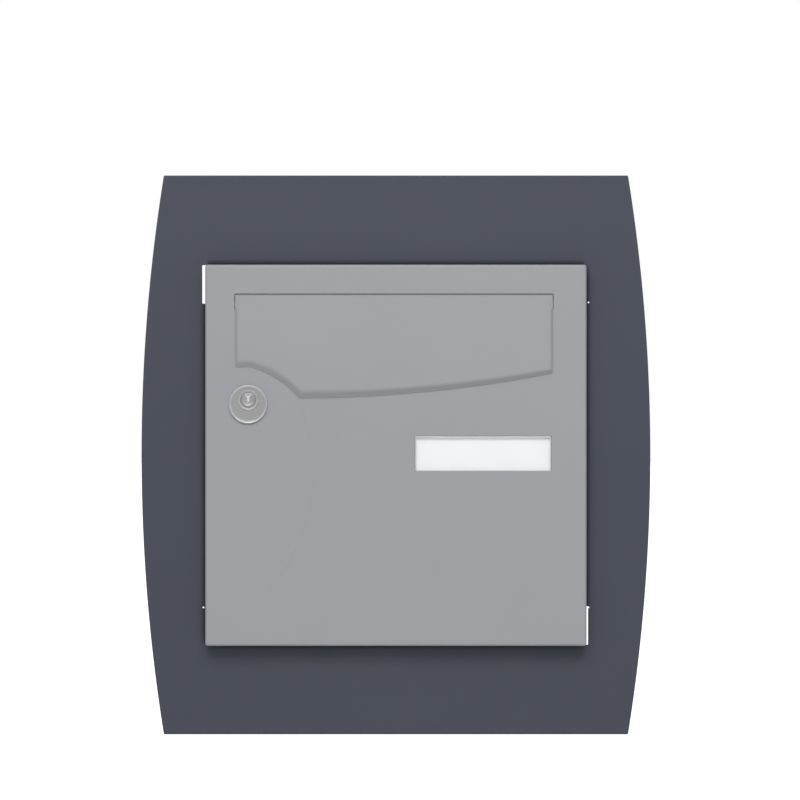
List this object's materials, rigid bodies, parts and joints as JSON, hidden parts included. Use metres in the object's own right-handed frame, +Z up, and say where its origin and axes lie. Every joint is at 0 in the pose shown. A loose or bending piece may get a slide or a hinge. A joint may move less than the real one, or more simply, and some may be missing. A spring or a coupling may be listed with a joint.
{
  "type": "wall mounted mailbox",
  "caption": "Square steel letter box with a bowed surround plate, a hinged door with a mail flap, cam lock and name plate, and a clamp frame for mesh fences.",
  "frame": {"origin": "centre of the back panel's outer face, which is the face that meets a wall", "axes": "+Z up, -Y out of the front towards the person who posts a letter, +X to that person's right"},
  "size_m": [0.376, 0.3716, 0.413],
  "materials": {
    "plate_paint": "anthracite powder coat, matt",
    "body_paint": "light grey powder coat, satin",
    "zinc_steel": "zinc plated",
    "rosette_metal": "grey enamel with a bright rim",
    "lock_metal": "nickel plated",
    "grey_plastic": "moulded",
    "black_rubber": "matt",
    "clear_plastic": "clear, polished",
    "white_card": "smooth white card"
  },
  "bodies": {
    "housing": {"surround_plate": "plate_paint", "plate_screw_1": "zinc_steel", "plate_screw_2": "zinc_steel", "plate_screw_3": "zinc_steel", "plate_screw_4": "zinc_steel", "rear_clamp_frame": "zinc_steel", "clamp_stud_1": "zinc_steel", "clamp_stud_2": "zinc_steel", "clamp_stud_3": "zinc_steel", "clamp_stud_4": "zinc_steel", "clamp_nut_1": "zinc_steel", "clamp_nut_2": "zinc_steel", "clamp_nut_3": "zinc_steel", "clamp_nut_4": "zinc_steel", "letter_box": "body_paint", "box_front_frame": "body_paint", "back_panel": "body_paint", "back_rivet_1": "zinc_steel", "back_rivet_2": "zinc_steel", "back_rivet_3": "zinc_steel", "back_rivet_4": "zinc_steel", "back_rivet_5": "zinc_steel", "back_rivet_6": "zinc_steel", "hinge_bracket_upper": "zinc_steel", "hinge_bracket_lower": "zinc_steel", "hinge_rivet_1": "zinc_steel", "hinge_rivet_2": "zinc_steel", "hinge_rivet_3": "zinc_steel", "hinge_rivet_4": "zinc_steel", "hinge_pin_upper": "zinc_steel", "hinge_pin_lower": "zinc_steel", "door_bumper_1": "black_rubber", "door_bumper_2": "black_rubber", "door_bumper_3": "black_rubber", "door_bumper_4": "black_rubber", "weather_strip": "black_rubber"},
    "door": {"door_panel": "body_paint", "door_hem": "body_paint", "hinge_bush_upper": "grey_plastic", "hinge_bush_lower": "grey_plastic", "flap_axle": "zinc_steel", "axle_bracket_left": "zinc_steel", "axle_bracket_right": "zinc_steel", "axle_clip_left": "zinc_steel", "axle_clip_right": "zinc_steel", "flap_spring": "zinc_steel", "name_window": "clear_plastic", "name_card": "white_card", "name_holder": "grey_plastic", "lock_rosette": "rosette_metal", "lock_housing": "lock_metal", "lock_nut": "zinc_steel"},
    "flap": {"mail_flap": "body_paint"},
    "lock": {"lock_plug": "lock_metal", "lock_cam": "zinc_steel", "cam_screw": "zinc_steel"}
  },
  "joints": [
    {"name": "door_hinge", "type": "hinge", "parent": "housing", "child": "door", "pos_m": [0.1333, -0.3613, 0], "axis": [0, 0, 1], "range_deg": [0, 110]},
    {"name": "flap_hinge", "type": "hinge", "parent": "door", "child": "flap", "pos_m": [0, -0.3638, 0.1116], "axis": [-1, 0, 0], "range_deg": [0, 80], "stiffness_Nm_per_rad": 0.02, "springref_deg": -17.19, "deforming": ["flap_spring"]},
    {"name": "lock_turn", "type": "hinge", "parent": "door", "child": "lock", "pos_m": [-0.1084, -0.368, 0.0406], "axis": [0, 1, 0], "range_deg": [0, 90]}
  ]
}
